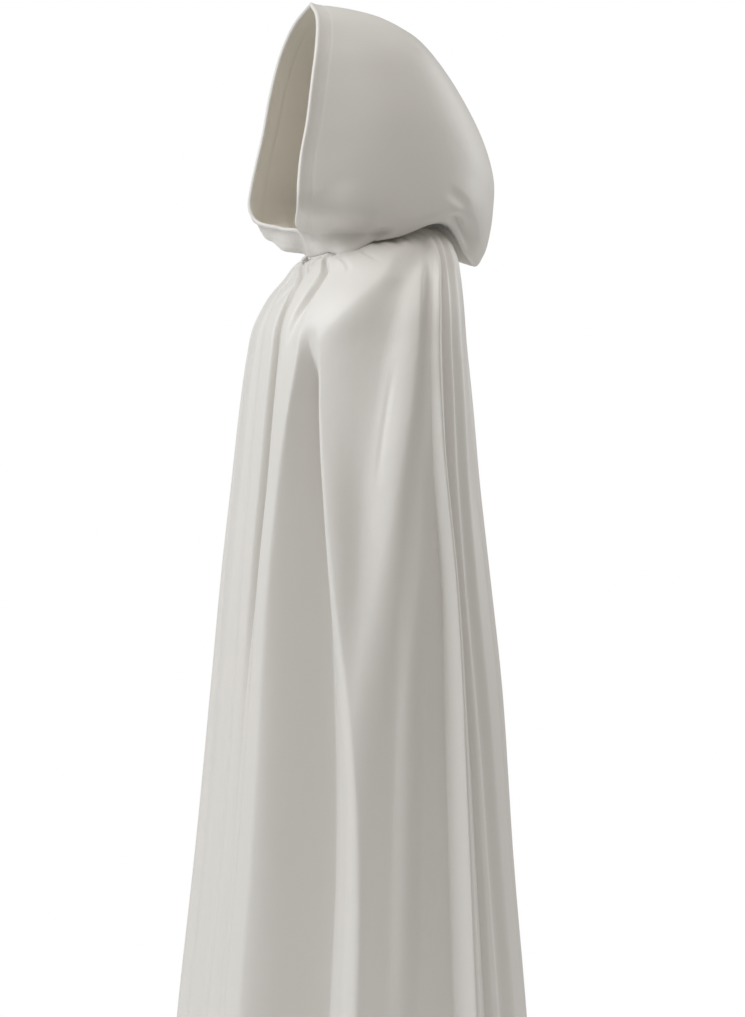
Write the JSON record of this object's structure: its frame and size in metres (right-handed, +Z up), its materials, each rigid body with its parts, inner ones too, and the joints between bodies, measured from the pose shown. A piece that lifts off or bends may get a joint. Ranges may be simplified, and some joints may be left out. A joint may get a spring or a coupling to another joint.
{
  "type": "hooded abaya cloak",
  "caption": "Full-length hooded cloak in plain ivory satin, closed at the neck by a covered button and loop, hollow as worn, with a loose hood and hanging folds.",
  "frame": {"origin": "middle of the neck opening, level with the front of the neck seam", "axes": "+Z up the wearer's body, -Y the way the garment faces, +X the wearer's left"},
  "size_m": [0.7844, 0.5391, 1.7976],
  "materials": {
    "cape_satin": "ivory satin with a soft broad sheen",
    "hood_satin": "ivory satin with a soft broad sheen",
    "trim_satin": "ivory satin over a small mould"
  },
  "bodies": {
    "root": {"front_left": "cape_satin", "front_right": "cape_satin", "back": "cape_satin", "hood_left": "hood_satin", "hood_right": "hood_satin", "neck_button": "trim_satin", "neck_loop": "trim_satin"}
  },
  "joints": []
}
